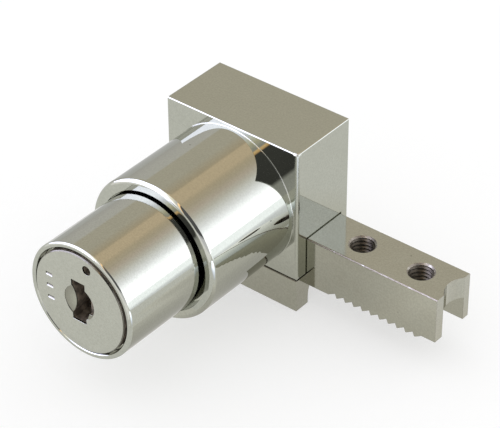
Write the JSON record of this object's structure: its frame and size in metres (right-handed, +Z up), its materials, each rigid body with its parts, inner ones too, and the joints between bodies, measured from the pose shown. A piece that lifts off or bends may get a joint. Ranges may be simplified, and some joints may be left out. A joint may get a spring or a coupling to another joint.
{
  "type": "glass door push lock",
  "caption": "Push lock for a glass cabinet door: a toothed channel clamps the glass and carries a housing whose key plunger throws a bolt out of its back.",
  "frame": {"origin": "on the face the glass edge seats against, midway across the glass slot and under the barrel's axis", "axes": "+X along the channel away from the housing, +Y into the cabinet along the barrel's axis, +Z up, away from the glass edge"},
  "size_m": [0.0511, 0.0486, 0.0304],
  "materials": {
    "chrome_plate": "polished mirror chrome over a zinc casting",
    "satin_nickel": "satin nickel over a zinc casting",
    "key_face": "fine satin nickel over brass",
    "brass": "turned, bare",
    "steel": "zinc plated",
    "spring_steel": "drawn wire, oiled"
  },
  "bodies": {
    "clamp": {"clamp_channel": "satin_nickel", "lock_housing": "chrome_plate", "housing_screws": "steel", "bolt_bush": "brass", "spring_washer": "steel", "travel_screw": "steel", "return_spring": "spring_steel"},
    "plunger": {"plunger_sleeve": "chrome_plate", "cylinder_body": "satin_nickel", "core_pins": "steel", "end_cap": "brass", "cap_screws": "steel", "locking_bolt": "steel"},
    "plug": {"key_plug": "key_face", "latch_cam": "brass", "cam_screw": "steel", "wafer_springs": "spring_steel"},
    "wafer_set": {"wafers": "brass"},
    "latch_bar": {"latch": "steel", "latch_follower": "steel"}
  },
  "joints": [
    {"name": "plunger_push", "type": "slide", "parent": "clamp", "child": "plunger", "axis": [0, 1, 0], "range_m": [0, 0.007], "stiffness_N_per_m": 500, "springref_m": -0.008, "deforming": ["return_spring"]},
    {"name": "key_turn", "type": "hinge", "parent": "plunger", "child": "plug", "pos_m": [0, -0.03, 0.0084], "axis": [0, 1, 0], "range_deg": [0, 90]},
    {"name": "latch_slide", "type": "slide", "parent": "plunger", "child": "latch_bar", "axis": [0, 0, 1], "range_m": [0, 0.0012]},
    {"name": "wafer_draw", "type": "slide", "parent": "plug", "child": "wafer_set", "axis": [0, 0, 1], "range_m": [0, 0.0006], "deforming": ["wafer_springs"]}
  ],
  "couplings": [
    {"joint": "latch_slide", "follows": "key_turn", "m_per_rad": 0.00076394}
  ]
}
